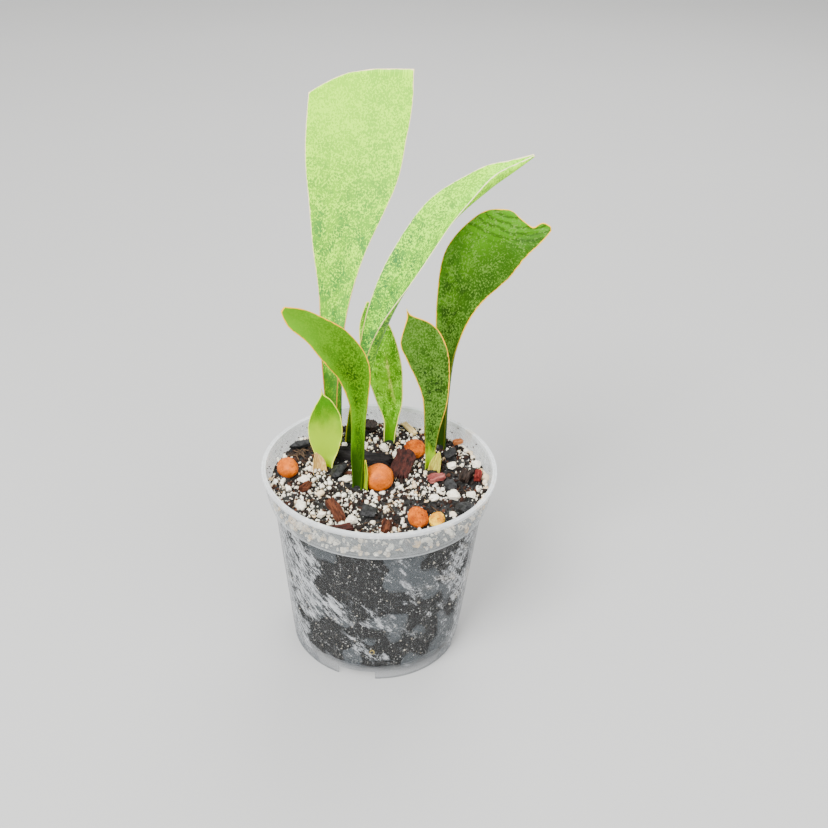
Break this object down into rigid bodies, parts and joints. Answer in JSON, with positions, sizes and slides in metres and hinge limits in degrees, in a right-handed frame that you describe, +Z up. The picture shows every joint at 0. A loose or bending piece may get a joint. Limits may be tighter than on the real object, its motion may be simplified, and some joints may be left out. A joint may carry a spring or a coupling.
{
  "type": "potted snake plant",
  "caption": "Clear plastic nursery pot of gritty soil with broad mottled snake plant leaves, clay pebbles, bark and perlite on top.",
  "frame": {"origin": "the pot's axis at the level it stands on, at the middle of the pot's small centre foot", "axes": "+Z up along the pot's axis, -Y towards the front, where the single visible foot notch is, +X to the right seen from the front"},
  "size_m": [0.1376, 0.1246, 0.2865],
  "materials": {
    "leaf_silver_green": "silvery mottled leaf, satin",
    "leaf_bright": "bright green leaf, glossy",
    "bark": "rough bark",
    "leaf_deep": "deep green flecked leaf, satin",
    "charcoal": "matt charcoal",
    "fired_clay": "porous fired clay",
    "pale_clay": "porous pale clay",
    "leaf_vivid": "vivid green leaf, satin",
    "dry_sheath": "papery dry sheath",
    "leaf_lime": "young lime leaf, satin",
    "paper_chip": "papery husk",
    "perlite": "porous white grain",
    "clear_plastic": "milky clear, glossy",
    "rhizome_flesh": "pale fleshy stem",
    "soil_mix": "rough, damp, gritty",
    "leaf_pale": "pale mottled leaf, satin"
  },
  "bodies": {
    "root": {"arching_leaf": "leaf_silver_green", "back_leaf": "leaf_bright", "bark_black_long": "bark", "bark_brown_front": "bark", "bark_left": "bark", "bark_maroon_front": "bark", "bark_maroon_tilted": "bark", "bark_pink": "bark", "bark_rear": "bark", "bark_right": "bark", "broad_leaf": "leaf_deep", "charcoal_front": "charcoal", "charcoal_left": "charcoal", "charcoal_rear_left": "charcoal", "charcoal_right": "charcoal", "charcoal_right_front": "charcoal", "charcoal_right_rear": "charcoal", "chip_red_right": "bark", "chip_tan_rear": "bark", "clay_pebble_broken": "fired_clay", "clay_pebble_large": "fired_clay", "clay_pebble_left": "fired_clay", "clay_pebble_pale": "pale_clay", "clay_pebble_rear": "fired_clay", "front_leaf": "leaf_vivid", "front_leaf_flap": "leaf_vivid", "husk_brown": "bark", "lime_sheath": "dry_sheath", "lime_sprout": "leaf_lime", "paper_chip": "paper_chip", "perlite_01": "perlite", "perlite_02": "perlite", "perlite_03": "perlite", "perlite_04": "perlite", "perlite_05": "perlite", "perlite_06": "perlite", "perlite_07": "perlite", "perlite_08": "perlite", "perlite_09": "perlite", "perlite_10": "perlite", "perlite_11": "perlite", "perlite_12": "perlite", "pot": "clear_plastic", "rhizome_left": "rhizome_flesh", "rhizome_right": "rhizome_flesh", "short_leaf": "leaf_deep", "short_leaf_sheath": "dry_sheath", "soil": "soil_mix", "tall_leaf": "leaf_pale"}
  },
  "joints": []
}
